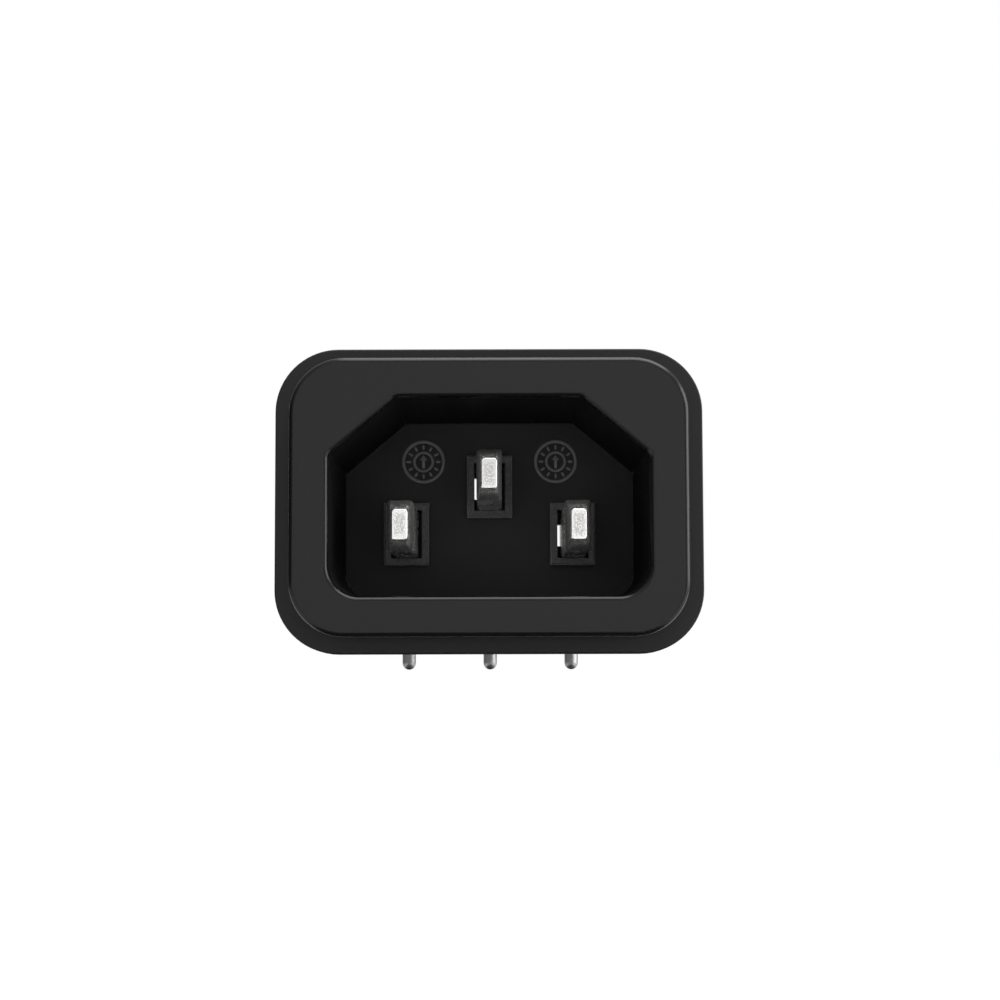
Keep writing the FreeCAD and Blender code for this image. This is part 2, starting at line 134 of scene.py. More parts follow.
# Marks behind the flange and on the roof.
PIN_INSET, PIN_HEIGHTS = 1.35 * MM, (-3.4 * MM, 3.0 * MM)
PIN_HALF_WIDTH, PIN_RISE = 0.07 * MM, 0.04 * MM
GATE_PLACE = (0.0, 8.0 * MM, 9.35 * MM)
GATE_RADIUS, GATE_RISE = 0.65 * MM, 0.16 * MM

# The floor, with a dark patch that only reflections show, so that the lower edges stay dark.
FLOOR_INNER, FLOOR_OUTER = 0.1, 0.8
FLOOR_ROUGHNESS, FLOOR_SPECULAR = 0.9, 0.1
FIBRE_SCALE, FIBRE_SHARE = 40.0, 0.985
PATCH_SHIFT, PATCH_REACH = (0.0, 0.05, 0.0), (0.06, 0.19, 1.0)
PATCH_BAND, PATCH_SHADE = (0.85, 1.2), (0.03, 0.03, 0.03, 1.0)
GLOW_BAND, GLOW_STRENGTHS = (0.1, 0.4), (0.1, 0.8)
REAR_BAND, REAR_STRENGTH = (0.12, 0.3), 0.4

# The room: the way in which it grows brighter, and the white backdrop behind the part.
ROOM_UP = Vector((0.2, 0.05, 0.98)).normalized()
ROOM_BAND, ROOM_STRENGTHS = (-0.1, 0.75), (0.02, 0.7)
BACKDROP_BAND = (0.86, 0.92)

# Each lamp's name, place, target, width and height, its setting, and whether reflections show it.
LAMPS = (
    ("front_softbox", (-0.06, -0.36, 0.165), (0.0, 0.0, 0.0), (0.5, 0.26), "front_light", True),
    ("strip_softbox", (0.0, -0.365, 0.013), (0.0, 0.0, 0.0), (0.34, 0.05), "strip_light", True),
    ("low_fill", (-0.04, -0.36, -0.1), (0.0, 0.0, 0.0), (0.34, 0.16), "low_light", True),
    ("top_softbox", (0.09, -0.1, 0.3), (0.09, -0.1, 0.0), (0.3, 0.44), "top_light", True),
    ("side_softbox", (0.33, -0.1, 0.08), (0.0, -0.1, 0.0), (0.44, 0.24), "side_light", True),
    ("cavity_fill", (-0.28, -0.24, 0.14), (0.0, 0.0, 0.0), (0.24, 0.24), "cavity_light", False),
    ("rear_softbox", (0.12, 0.38, 0.24), (0.0, 0.0, 0.0), (0.4, 0.3), "rear_light", False),
)

# The camera, as fitted to the outlines in the photo.
CAMERA_SENSOR, CAMERA_LENS, CAMERA_NEAR = 36.0, 70.956, 0.01
CAMERA_PLACE = (0.53 * MM, -154.94 * MM, -12.17 * MM)
CAMERA_PITCH = math.radians(90.0 + 4.503)
CAMERA_YAW = math.radians(-0.12)
CAMERA_ROLL = math.radians(-0.168)


class InletPlasticSettings(bpy.types.PropertyGroup):
    """Colours and finish of the black moulding."""

    shade: bpy.props.FloatVectorProperty(
        name="Outer colour", description="Colour of the bezel, flange and body",
        subtype="COLOR", size=3, min=0.0, max=1.0, default=(0.0060, 0.0060, 0.0064))
    # Painted shade: the cavity walls are coloured darker than the outer moulding in place of the
    # shade that falls in the cavity.
    cavity_painted_shade: bpy.props.FloatVectorProperty(
        name="Cavity colour", description="Colour of the matt cavity walls",
        subtype="COLOR", size=3, min=0.0, max=1.0, default=(0.0015, 0.0015, 0.0016))
    # Painted light: the base wall is coloured lighter than the outer moulding to make up for the
    # little light that reaches it in the cavity.
    base_painted_fill: bpy.props.FloatVectorProperty(
        name="Base colour", description="Colour of the base wall behind the blades",
        subtype="COLOR", size=3, min=0.0, max=1.0, default=(0.0140, 0.0140, 0.0146))
    # The collars' grey is partly dust and partly painted light that makes up for the dim cavity.
    # The collar bevels and the dials take lighter shares of it as painted highlights.
    collar_dust_and_painted_light: bpy.props.FloatVectorProperty(
        name="Collar colour", description="Colour of the collars round the blades",
        subtype="COLOR", size=3, min=0.0, max=1.0, default=(0.1035, 0.1027, 0.1075))
    roughness: bpy.props.FloatProperty(
        name="Outer roughness", description="Roughness of the satin outer faces",
        subtype="FACTOR", min=0.0, max=1.0, default=0.43)
    cavity_roughness: bpy.props.FloatProperty(
        name="Cavity roughness", description="Roughness of the matt cavity walls",
        subtype="FACTOR", min=0.0, max=1.0, default=0.48)
    base_roughness: bpy.props.FloatProperty(
        name="Base roughness", description="Roughness of the base wall behind the blades",
        subtype="FACTOR", min=0.0, max=1.0, default=0.56)
    edge_roughness: bpy.props.FloatProperty(
        name="Edge roughness", description="Roughness of the burnished bezel and mouth edges",
        subtype="FACTOR", min=0.0, max=1.0, default=0.25)
    specular: bpy.props.FloatProperty(
        name="Specular level", description="Strength of the moulding's own reflection",
        subtype="FACTOR", min=0.0, max=1.0, default=0.33)
    grain_size: bpy.props.FloatProperty(
        name="Grain size", description="Size of one grain of the moulded texture",
        unit="LENGTH", min=0.00001, max=0.01, precision=6, default=0.00016)
    grain_depth: bpy.props.FloatProperty(
        name="Grain depth", description="Depth of the moulded texture",
        unit="LENGTH", min=0.0, max=0.001, precision=7, default=0.0000016)


class InletMetalSettings(bpy.types.PropertyGroup):
    """Colours and finish of the plated terminals."""

    plating: bpy.props.FloatVectorProperty(
        name="Plating colour", description="Colour of the bright nickel plating",
        subtype="COLOR", size=3, min=0.0, max=1.0, default=(0.86, 0.855, 0.84))
    tarnish: bpy.props.FloatVectorProperty(
        name="Tarnish colour", description="Colour of the dull patches in the plating",
        subtype="COLOR", size=3, min=0.0, max=1.0, default=(0.40, 0.395, 0.385))
    tinning: bpy.props.FloatVectorProperty(
        name="Tinning colour", description="Colour of the tinned solder tails",
        subtype="COLOR", size=3, min=0.0, max=1.0, default=(0.34, 0.336, 0.34))
    roughness: bpy.props.FloatProperty(
        name="Plating roughness", description="Roughness of the bright plating",
        subtype="FACTOR", min=0.0, max=1.0, default=0.2)
    tail_start: bpy.props.FloatProperty(
        name="Tail start", description="Height below which the tails are tinned",
        unit="LENGTH", min=-0.1, max=0.1, precision=5, default=-0.0080)


class InletMarkSettings(bpy.types.PropertyGroup):
    """Places and sizes of the marks that the mould leaves."""

    base_wall: bpy.props.FloatProperty(
        name="Base wall", description="Front face of the base wall behind the flange's seat",
        unit="LENGTH", min=0.0, max=0.1, precision=5, default=0.0116)
    flange_rear: bpy.props.FloatProperty(
        name="Flange rear", description="Rear face of the flange behind its seat",
        unit="LENGTH", min=0.0, max=0.1, precision=5, default=0.0020)
    flange_corner: bpy.props.FloatProperty(
        name="Flange corner", description="Corner rounding of the flange's outline",
        unit="LENGTH", min=0.0, max=0.1, precision=5, default=0.0050)
    dial_radius: bpy.props.FloatProperty(
        name="Dial radius", description="Radius of a dial's outer ring",
        unit="LENGTH", min=0.0001, max=0.01, precision=5, default=0.0017)
    dial_rise: bpy.props.FloatProperty(
        name="Dial rise", description="Height of a dial's ring above the base wall",
        unit="LENGTH", min=0.00001, max=0.001, precision=6, default=0.00010)
    dial_across: bpy.props.FloatProperty(
        name="Dial place across", description="A dial's centre to the side of the middle",
        unit="LENGTH", min=0.0, max=0.1, precision=5, default=0.0056)
    dial_up: bpy.props.FloatProperty(
        name="Dial place up", description="A dial's centre above the middle",
        unit="LENGTH", min=-0.1, max=0.1, precision=5, default=0.0042)
    bead_width: bpy.props.FloatProperty(
        name="Parting bead width",
        description="Half width of the witness line at the mould's parting",
        unit="LENGTH", min=0.000001, max=0.001, precision=6, default=0.00005)
    pin_radius: bpy.props.FloatProperty(
        name="Ejector mark radius", description="Radius of the ring that an ejector pin leaves",
        unit="LENGTH", min=0.0001, max=0.01, precision=5, default=0.0008)


class InletStudioSettings(bpy.types.PropertyGroup):
    """Lamps and floor."""

    front_light: bpy.props.FloatProperty(
        name="Front softbox", description="Brightness of the softbox above the camera",
        min=0.0, max=20.0, default=0.4)
    strip_light: bpy.props.FloatProperty(
        name="Strip softbox",
        description="Brightness of the narrow strip that the blades' ends mirror",
        min=0.0, max=20.0, default=1.35)
    low_light: bpy.props.FloatProperty(
        name="Low fill", description="Brightness of the fill below the camera",
        min=0.0, max=20.0, default=0.58)
    cavity_light: bpy.props.FloatProperty(
        name="Cavity fill",
        description="Brightness of the matt fill on the left that reaches into the cavity",
        min=0.0, max=20.0, default=3.0)
    top_light: bpy.props.FloatProperty(
        name="Top softbox", description="Brightness of the softbox overhead",
        min=0.0, max=20.0, default=4.5)
    side_light: bpy.props.FloatProperty(
        name="Side softbox", description="Brightness of the softbox on the right",
        min=0.0, max=20.0, default=4.3)
    rear_light: bpy.props.FloatProperty(
        name="Rear softbox", description="Brightness of the softbox behind the part",
        min=0.0, max=20.0, default=2.5)
    floor_level: bpy.props.FloatProperty(
        name="Floor level", description="Height of the studio floor",
        unit="LENGTH", min=-2.0, max=0.0, precision=4, default=-0.065)
    floor_shade: bpy.props.FloatVectorProperty(
        name="Floor colour", description="Colour of the studio floor",
        subtype="COLOR", size=3, min=0.0, max=1.0, default=(0.62, 0.62, 0.62))


# Surfaces worked out on grids


def ring_surface(centre, radius, half_width, rise, turns=64, sides=12):
    """An elliptic ring about the Y direction.

    With t round the ring and p round its section, a point is the centre plus
    (radius + half_width * cos p) along the turn in X and Z, and rise * sin p along Y.
    """
    turn = np.linspace(0.0, FULL_TURN, turns, endpoint=False)[:, None]
    side = np.linspace(0.0, FULL_TURN, sides, endpoint=False)[None, :]
    reach = radius + half_width * np.cos(side)
    rearward = rise * np.sin(side) + 0.0 * turn
    points = np.stack((reach * np.cos(turn), rearward, reach * np.sin(turn)), axis=-1)
    return points + np.asarray(centre)


def pillow_surface(centre, along, across, half_length, half_width, rise, squareness=0.55,
                   rows=9, columns=24):
    """A rounded bar on the base wall: a superellipsoid with its short axis along Y.

    With latitude u and longitude v, powers of the cosines and sines below one square the form up:
    along * half_length * c(u) c(v) + across * half_width * c(u) s(v) + Y * rise * s(u).
    The first and last rows shrink to the two poles.
    """
    latitude = np.linspace(-QUARTER_TURN, QUARTER_TURN, rows)[:, None]
    longitude = np.linspace(0.0, FULL_TURN, columns, endpoint=False)[None, :]

    def squared(wave):
        """A wave with fuller shoulders."""
        return np.sign(wave) * np.abs(wave) ** squareness

    ring = np.maximum(squared(np.cos(latitude)), 0.0)
    rearward = squared(np.sin(latitude)) + 0.0 * longitude
    points = (half_length * (ring * squared(np.cos(longitude)))[..., None] * np.asarray(along)
              + half_width * (ring * squared(np.sin(longitude)))[..., None] * np.asarray(across)
              + rise * rearward[..., None] * np.array((0.0, 1.0, 0.0)))
    return points + np.asarray(centre)


def arrow_surface(centre, length, half_shaft, half_head, rise, columns=56):
    """A raised pointer in the wall's plane, pointing up.

    Its outline is carried through rows: from the sunk middle out to the outline, up to the rim,
    in to a narrower top outline and back to the middle of the top.
    """
    tail, neck, tip = -0.5 * length, 0.12 * length, 0.5 * length
    corners = np.array(((half_shaft, tail), (half_shaft, neck), (half_head, neck), (0.0, tip),
                        (-half_head, neck), (-half_shaft, neck), (-half_shaft, tail),
                        (half_shaft, tail)))
    steps = np.concatenate(((0.0,), np.cumsum(np.hypot(*np.diff(corners, axis=0).T))))
    travel = np.linspace(0.0, steps[-1], columns, endpoint=False)
    outline = np.stack([np.interp(travel, steps, line) for line in corners.T], axis=-1)
    heart = np.array((0.0, 0.05 * length))
    share = np.array((0.0, 1.0, 1.0, 0.88, 0.0))[:, None, None]
    level = np.array((rise, rise, -0.7 * rise, -rise, -rise))[:, None]
    flat = heart + share * (outline - heart)
    points = np.stack((flat[..., 0], level + 0.0 * flat[..., 0], flat[..., 1]), axis=-1)
    return points + np.asarray(centre)


def bead_surface(half_width, half_height, corner, station, bead, arc_steps=16, sides=8):
    """A thin bead round the flange's outline.

    The path is four quarter circles of the corner's radius joined by straight runs. With n the
    path's outward direction and p round the bead, a point is the path plus bead * cos p along n
    and bead * sin p along Y.
    """
    quarter = np.linspace(0.0, QUARTER_TURN, arc_steps)
    angle = np.concatenate([quarter + QUARTER_TURN * turn for turn in range(4)])
    outward = np.stack((np.cos(angle), np.sin(angle)), axis=-1)
    signs = np.array(((1.0, 1.0), (-1.0, 1.0), (-1.0, -1.0), (1.0, -1.0)))
    straight = np.array((half_width - corner, half_height - corner))
    path = np.repeat(signs * straight, arc_steps, axis=0) + corner * outward
    side = np.linspace(0.0, FULL_TURN, sides, endpoint=False)[None, :, None]
    across = path[:, None, :] + bead * np.cos(side) * outward[:, None, :]
    rearward = station + bead * np.sin(side[..., 0]) + 0.0 * across[..., 0]
    return np.stack((across[..., 0], rearward, across[..., 1]), axis=-1)


def vestige_surface(centre, radius, rise, rows=10, columns=36):
    """The stub that a gate leaves on a face that looks up.

    With r from the middle to the rim and t round it, the height is rise * (1 - r^4), broken by a
    ripple of 0.2 * rise * r * (1 - r) * sin(5 t + 3 r). The last two rows sink below the face
    and close.
    """
    share = np.concatenate((np.linspace(0.0, 1.0, rows - 2), (1.0, 0.0)))[:, None]
    turn = np.linspace(0.0, FULL_TURN, columns, endpoint=False)[None, :]
    ripple = 0.2 * share * (1.0 - share) * np.sin(5.0 * turn + 3.0 * share)
    height = rise * (1.0 - share ** 4 + ripple)
    height[-2:] = -0.5 * rise
    reach = radius * share
    points = np.stack((reach * np.cos(turn), reach * np.sin(turn), height), axis=-1)
    return points + np.asarray(centre)


# Meshes from grids


def looped_faces(rows, columns):
    """Quads of a grid that closes both along its rows and along its columns."""
    row = np.arange(rows)[:, None]
    column = np.arange(columns)[None, :]
    following_row = (row + 1) % rows
    following = (column + 1) % columns
    corners = (row * columns + column, row * columns + following,
               following_row * columns + following, following_row * columns + column)
    return np.stack(np.broadcast_arrays(*corners), axis=-1).reshape(-1, 4)


def poled_grid(points):
    """Points and faces of a grid whose first and last rows are poles and whose columns close."""
    rows, columns = points.shape[:2]
    body = points[1:-1].reshape(-1, 3)
    poles = np.stack((points[0, 0], points[-1, 0]))
    rings = rows - 2
    quads = looped_faces(rings, columns)[:(rings - 1) * columns]
    column = np.arange(columns)
    following = (column + 1) % columns
    first = rings * columns
    last_row = (rings - 1) * columns
    start = np.stack((np.full(columns, first), following, column), axis=-1)
    end = np.stack((np.full(columns, first + 1), last_row + column, last_row + following), axis=-1)
    return np.concatenate((body, poles)), [quads, np.concatenate((start, end))]


def looped_grid(points):
    """Points and faces of a grid that closes both ways."""
    return points.reshape(-1, 3), [looped_faces(*points.shape[:2])]


def facing_out(points, faces):
    """The faces turned so that the closed surface's signed volume is positive."""
    triangles = np.concatenate([part[:, (0, corner, corner + 1)] for part in faces
                                for corner in range(1, part.shape[1] - 1)])
    first, second, third = (points[triangles[:, corner]] for corner in range(3))
    volume = np.einsum("ij,ij->", first, np.cross(second, third))
    if volume < 0.0:
        return [part[:, ::-1] for part in faces]
    return faces


def make_piece(name, surfaces, material):
    """One object from closed surfaces, with the moulding's slot, riding on the part."""
    points = []
    faces = []
    count = 0
    for surface_points, surface_faces in surfaces:
        for part in facing_out(surface_points, surface_faces):
            faces += (part + count).tolist()
        points.append(surface_points)
        count += len(surface_points)
    mesh = bpy.data.meshes.new(name)
    mesh.from_pydata(np.concatenate(points).tolist(), [], faces)
    mesh.polygons.foreach_set("use_smooth", np.ones(len(faces), dtype=bool))
    mesh.set_sharp_from_angle(angle=SHARP_ANGLE)
    if mesh.validate():
        raise RuntimeError(f"{name} has broken faces")
    mesh.materials.append(material)
    piece = bpy.data.objects.new(name, mesh)
    bpy.context.scene.collection.objects.link(piece)
    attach(piece, "root")


# Shader building


def add_node(tree, kind, **settings):
    """A node of the given kind, set up and placed after the ones before it."""
    made = tree.nodes.new(kind)
    made.location = (NODE_STEP * len(tree.nodes), 0.0)
    for name, value in settings.items():
        setattr(made, name, value)
    return made


def put(tree, socket, source):
    """Feed a socket from another socket, or set it to a plain value."""
    if isinstance(source, bpy.types.NodeSocket):
        tree.links.new(source, socket)
    else:
        socket.default_value = source


def feed(tree, made, inputs):
    """Feed several sockets of a node, each given by its name or its number."""
    for socket, source in inputs.items():
        put(tree, made.inputs[socket], source)


def math_node(tree, operation, *sources, clamp=False):
    """The result of a math node."""
    made = add_node(tree, "ShaderNodeMath", operation=operation, use_clamp=clamp)
    for socket, source in zip(made.inputs, sources):
        put(tree, socket, source)
    return made.outputs[0]


def times(tree, *sources):
    """The product of the sources."""
    product = sources[0]
    for source in sources[1:]:
        product = math_node(tree, "MULTIPLY", product, source)
    return product


def plus(tree, first, second):
    """The sum of two sources."""
    return math_node(tree, "ADD", first, second)


def less(tree, first, second, clamp=False):
    """The first source less the second, kept between nought and one where it is clamped."""
    return math_node(tree, "SUBTRACT", first, second, clamp=clamp)


def larger(tree, first, second):
    """The larger of two sources."""
    return math_node(tree, "MAXIMUM", first, second)


def unsigned(tree, source):
    """A source without its sign."""
    return math_node(tree, "ABSOLUTE", source)


def math_vector(tree, operation, *sources):
    """The result of a vector math node: a number for a length or a dot product, else a vector."""
    made = add_node(tree, "ShaderNodeVectorMath", operation=operation)
    for socket, source in zip(made.inputs, sources):
        put(tree, socket, source)
    return made.outputs["Value" if operation in ("LENGTH", "DOT_PRODUCT") else "Vector"]


def parts_of(tree, place):
    """The three parts of a vector."""
    made = add_node(tree, "ShaderNodeSeparateXYZ")
    put(tree, made.inputs[0], place)
    return made.outputs


def ramp(tree, source, low, high, start=0.0, end=1.0):
    """A smooth step from one value to another while the source goes from low to high."""
    made = add_node(tree, "ShaderNodeMapRange", interpolation_type="SMOOTHSTEP")
    feed(tree, made, {"Value": source, "From Min": low, "From Max": high,
                      "To Min": start, "To Max": end})
    return made.outputs["Result"]


def fade(tree, source, low, high):
    """A smooth step from one down to nought while the source goes from low to high."""
    return ramp(tree, source, low, high, 1.0, 0.0)


def noise(tree, place, scale, detail=2.0):
    """A cloudy noise between nought and one."""
    made = add_node(tree, "ShaderNodeTexNoise")
    feed(tree, made, {"Vector": place, "Scale": scale, "Detail": detail})
    return made.outputs["Fac"]


def blend(tree, kind, share, first, second):
    """A mix of two sources of one kind."""
    made = add_node(tree, "ShaderNodeMix", data_type=kind)
    first_socket, second_socket, result = MIX_SOCKETS[kind]
    feed(tree, made, {"Factor": share, first_socket: first, second_socket: second})
    return made.outputs[result]


def blend_colour(tree, share, first, second):
    """A mix of two colours."""
    return blend(tree, "RGBA", share, first, second)


def blend_value(tree, share, first, second):
    """A mix of two numbers."""
    return blend(tree, "FLOAT", share, first, second)


def tint(colour, share=1.0):
    """A share of a colour, with full opacity for a socket."""
    return (*(share * channel for channel in colour), 1.0)


def new_group(name, inputs, outputs):
    """An empty node group with named sockets, and its two end nodes."""
    tree = bpy.data.node_groups.new(name, "ShaderNodeTree")
    for socket, kind in inputs:
        tree.interface.new_socket(socket, in_out="INPUT", socket_type=kind)
    for socket, kind in outputs:
        tree.interface.new_socket(socket, in_out="OUTPUT", socket_type=kind)
    return tree, add_node(tree, "NodeGroupInput"), add_node(tree, "NodeGroupOutput")


def moulded_grain_group():
    """Spark-eroded grain: rounded cells broken by fine noise, with a slow mottle."""
    if "moulded_grain" in bpy.data.node_groups:
        return bpy.data.node_groups["moulded_grain"]
    tree, start, end = new_group(
        "moulded_grain", (("Vector", VECTOR), ("Grain Size", NUMBER)),
        (("Height", NUMBER), ("Mottle", NUMBER), ("Gloss", NUMBER)))
    place = start.outputs["Vector"]
    scale = math_node(tree, "DIVIDE", 1.0, start.outputs["Grain Size"])
    cells = add_node(tree, "ShaderNodeTexVoronoi", feature="SMOOTH_F1")
    feed(tree, cells, {"Vector": place, "Scale": scale})
    fine = noise(tree, place, times(tree, scale, FINE_SCALE))
    feed(tree, end, {
        "Height": blend_value(tree, FINE_SHARE, cells.outputs["Distance"], fine),
        "Mottle": noise(tree, place, MOTTLE_SCALE, MOTTLE_DETAIL),
        "Gloss": ramp(tree, fine, *FINE_BAND),
    })
    return tree


def rub_marks_group():
    """Faint rubbing: hairlines where a stretched noise passes a narrow band, in patches."""
    if "rub_marks" in bpy.data.node_groups:
        return bpy.data.node_groups["rub_marks"]
    tree, start, end = new_group(
        "rub_marks", (("Vector", VECTOR), ("Stretch", VECTOR), ("Scale", NUMBER)),
        (("Mask", NUMBER),))
    place = start.outputs["Vector"]
    stretched = math_vector(tree, "MULTIPLY", place, start.outputs["Stretch"])
    lines = noise(tree, stretched, start.outputs["Scale"], HAIR_DETAIL)
    hair = fade(tree, unsigned(tree, less(tree, lines, 0.5)), *HAIR_BAND)
    patches = ramp(tree, noise(tree, place, HAIR_PATCH_SCALE), *HAIR_PATCH_BAND)
    put(tree, end.inputs["Mask"], times(tree, hair, patches))
    return tree


def outline_group():
    """How far a point lies outside a rounded rectangle seen from the front, below nought inside it.

    With q the point's distance past the straight part on each axis, the result is the length of q
    where it is above nought, plus the larger q where both are below it, less the corner's radius.
    """
    if "front_outline" in bpy.data.node_groups:
        return bpy.data.node_groups["front_outline"]
    tree, start, end = new_group(
        "front_outline",
        (("Vector", VECTOR), ("Half Width", NUMBER), ("Half Height", NUMBER), ("Corner", NUMBER)),
        (("Distance", NUMBER),))
    part = parts_of(tree, start.outputs["Vector"])
    corner = start.outputs["Corner"]
    past = []
    for axis, half in (("X", "Half Width"), ("Z", "Half Height")):
        straight = less(tree, start.outputs[half], corner)
        past.append(less(tree, unsigned(tree, part[axis]), straight))
    squares = [math_node(tree, "POWER", larger(tree, value, 0.0), 2.0) for value in past]
    outer = math_node(tree, "SQRT", plus(tree, *squares))
    inner = math_node(tree, "MINIMUM", larger(tree, *past), 0.0)
    put(tree, end.inputs["Distance"], less(tree, plus(tree, outer, inner), corner))
    return tree


def place_group(tree, group, inputs):
    """A shared group placed in a material with its own values."""
    made = add_node(tree, "ShaderNodeGroup", node_tree=group)
    feed(tree, made, inputs)
    return made.outputs


def moulded_grain(tree, place, size):
    """The grain's height, mottle and gloss at a place."""
    return place_group(tree, moulded_grain_group(), {"Vector": place, "Grain Size": size})


def rub_marks(tree, place, stretch, scale):
    """The hairlines at a place."""
    inputs = {"Vector": place, "Stretch": stretch, "Scale": scale}
    return place_group(tree, rub_marks_group(), inputs)["Mask"]


def front_outline(tree, place, half_width, half_height, corner):
    """How far a place lies outside an outline."""
    inputs = {"Vector": place, "Half Width": half_width, "Half Height": half_height,
              "Corner": corner}
    return place_group(tree, outline_group(), inputs)["Distance"]


def new_material(name):
    """An empty material with a Principled shader at its output."""
    if name in bpy.data.materials:
        bpy.data.materials.remove(bpy.data.materials[name])
    material = bpy.data.materials.new(name)
    material.use_nodes = True
    tree = material.node_tree
    tree.nodes.clear()
    output = add_node(tree, "ShaderNodeOutputMaterial")
    surface = add_node(tree, "ShaderNodeBsdfPrincipled")
    tree.links.new(surface.outputs["BSDF"], output.inputs["Surface"])
    return material, tree, surface


def object_place(tree):
    """Object coordinates and their three parts."""
    place = add_node(tree, "ShaderNodeTexCoord").outputs["Object"]
    return place, parts_of(tree, place)


def raise_bump(tree, surface, height, depth):
    """A bump of the given depth on the surface's normal."""
    bump = add_node(tree, "ShaderNodeBump")
    feed(tree, bump, {"Strength": 1.0, "Distance": depth, "Height": height})
    put(tree, surface.inputs["Normal"], bump.outputs["Normal"])


# Finishes


def moulding_material(plastic):
    """Satin black moulding with burnished edges, a matt cavity, a satin base wall and dusty
    collars. Painted shade darkens the edges and the cavity, painted light lifts the base wall and
    collars, and painted highlights brighten the collar bevels.
    """
    material, tree, surface = new_material("satin_black_moulding")
    place, part = object_place(tree)
    grain = moulded_grain(tree, place, plastic.grain_size)
    rubbed = rub_marks(tree, place, RUB_STRETCH, RUB_SCALE)

    # Below the middle the slants are moved a metre inside, so that only the top corners have them.
    slant = math_vector(tree, "DOT_PRODUCT", math_vector(tree, "ABSOLUTE", place), SLANT_FACING)
    top_only = ramp(tree, part["Z"], *SLANT_START, -1.0, 0.0)
    slanted = plus(tree, less(tree, slant, SLANT_REACH), top_only)
    mouth = larger(tree, front_outline(tree, place, *MOUTH_OUTLINE), slanted)
    rim = ramp(tree, front_outline(tree, place, *BEZEL_OUTLINE), *RIM_BAND)
    lip = fade(tree, mouth, *LIP_BAND)
    edge = times(tree, fade(tree, part["Y"], *FRONT_EDGES), larger(tree, rim, lip))
    cavity = times(tree, fade(tree, mouth, *CAVITY_BAND), ramp(tree, part["Y"], *CAVITY_START),
                   fade(tree, part["Y"], *CAVITY_END))
    base = times(tree, cavity, fade(tree, mouth, *BASE_BAND), ramp(tree, part["Y"], *BASE_START))
    collar = times(tree, base, fade(tree, part["Y"], *COLLAR_END))
    # Painted highlight: the collars' bevelled front edges are coloured lighter.
    bevel_highlight = times(tree, collar, ramp(tree, part["Y"], *BEVEL_START),
                  fade(tree, part["Y"], *BEVEL_END))
    scuffed = times(tree, collar, ramp(tree, grain["Gloss"], *GRAIN_BAND, *SCUFF_SHARES))

    colour = blend_colour(tree, grain["Mottle"], tint(plastic.shade, MOTTLE_SHARE),
                          tint(plastic.shade))
    # The burnished edges are coloured darker: partly the deeper black of polished plastic, partly
    # painted shade that deepens the dark lines along the edges.
    colour = blend_colour(tree, edge, colour, tint(plastic.shade, EDGE_POLISH_AND_PAINTED_SHADE_SHARE))
    # Painted shade: the cavity takes a darker colour in place of the shade that falls in it.
    colour = blend_colour(tree, cavity, colour, tint(plastic.cavity_painted_shade))
    # Painted light: the base wall is lighter than the moulding round it to make up for the dim
    # cavity.
    colour = blend_colour(tree, base, colour, tint(plastic.base_painted_fill))
    # The collars' dusty patches, whose grey is partly painted light for the dim cavity.
    colour = blend_colour(tree, scuffed, colour, tint(plastic.collar_dust_and_painted_light))
    # Painted highlight: the collars' bevelled front edges are coloured lighter still.
    colour = blend_colour(tree, bevel_highlight, colour, tint(plastic.collar_dust_and_painted_light, BEVEL_PAINTED_HIGHLIGHT_SHARE))

    smoothest, roughest = (plastic.roughness + spread for spread in SATIN_SPREAD)
    rough = ramp(tree, grain["Gloss"], 0.0, 1.0, smoothest, roughest)
    rough = less(tree, rough, times(tree, rubbed, RUB_POLISH))
    rough = blend_value(tree, edge, rough, plastic.edge_roughness)
    rough = blend_value(tree, cavity, rough, plastic.cavity_roughness)
    rough = blend_value(tree, base, rough, plastic.base_roughness)
    polished = ramp(tree, grain["Gloss"], *GRAIN_BAND, *COLLAR_ROUGHNESS)
    rough = blend_value(tree, collar, rough, polished)

    feed(tree, surface, {"Base Color": colour, "Roughness": rough,
                         "Specular IOR Level": plastic.specular})
    textured = less(tree, 1.0, larger(tree, cavity, edge))
    raise_bump(tree, surface, times(tree, grain["Height"], textured), plastic.grain_depth)
    return material


def mark_material(plastic):
    """The same plastic where a polished steel insert shaped it, with painted highlights on the
    dials.
    """
    material, tree, surface = new_material(INSERT_FINISH)
    place, part = object_place(tree)
    grain = moulded_grain(tree, place, INSERT_GRAIN_SHARE * plastic.grain_size)
    outer = blend_colour(tree, grain["Mottle"], tint(plastic.shade),
                         tint(plastic.shade, INSERT_MOTTLE_AND_DIAL_HIGHLIGHT_SHARE))
    # Painted highlight: the dials on the base wall are coloured lighter than the plastic round
    # them.
    inner = ramp(tree, part["Y"], *DIAL_START)
    feed(tree, surface, {
        "Base Color": blend_colour(tree, inner, outer, tint(plastic.collar_dust_and_painted_light, INSERT_MOTTLE_AND_DIAL_HIGHLIGHT_SHARE)),
        "Roughness": ramp(tree, grain["Gloss"], 0.0, 1.0, *INSERT_ROUGHNESS),
        "Specular IOR Level": INSERT_SPECULAR,
    })
    raise_bump(tree, surface, grain["Height"], INSERT_GRAIN_SHARE * plastic.grain_depth)
    return material


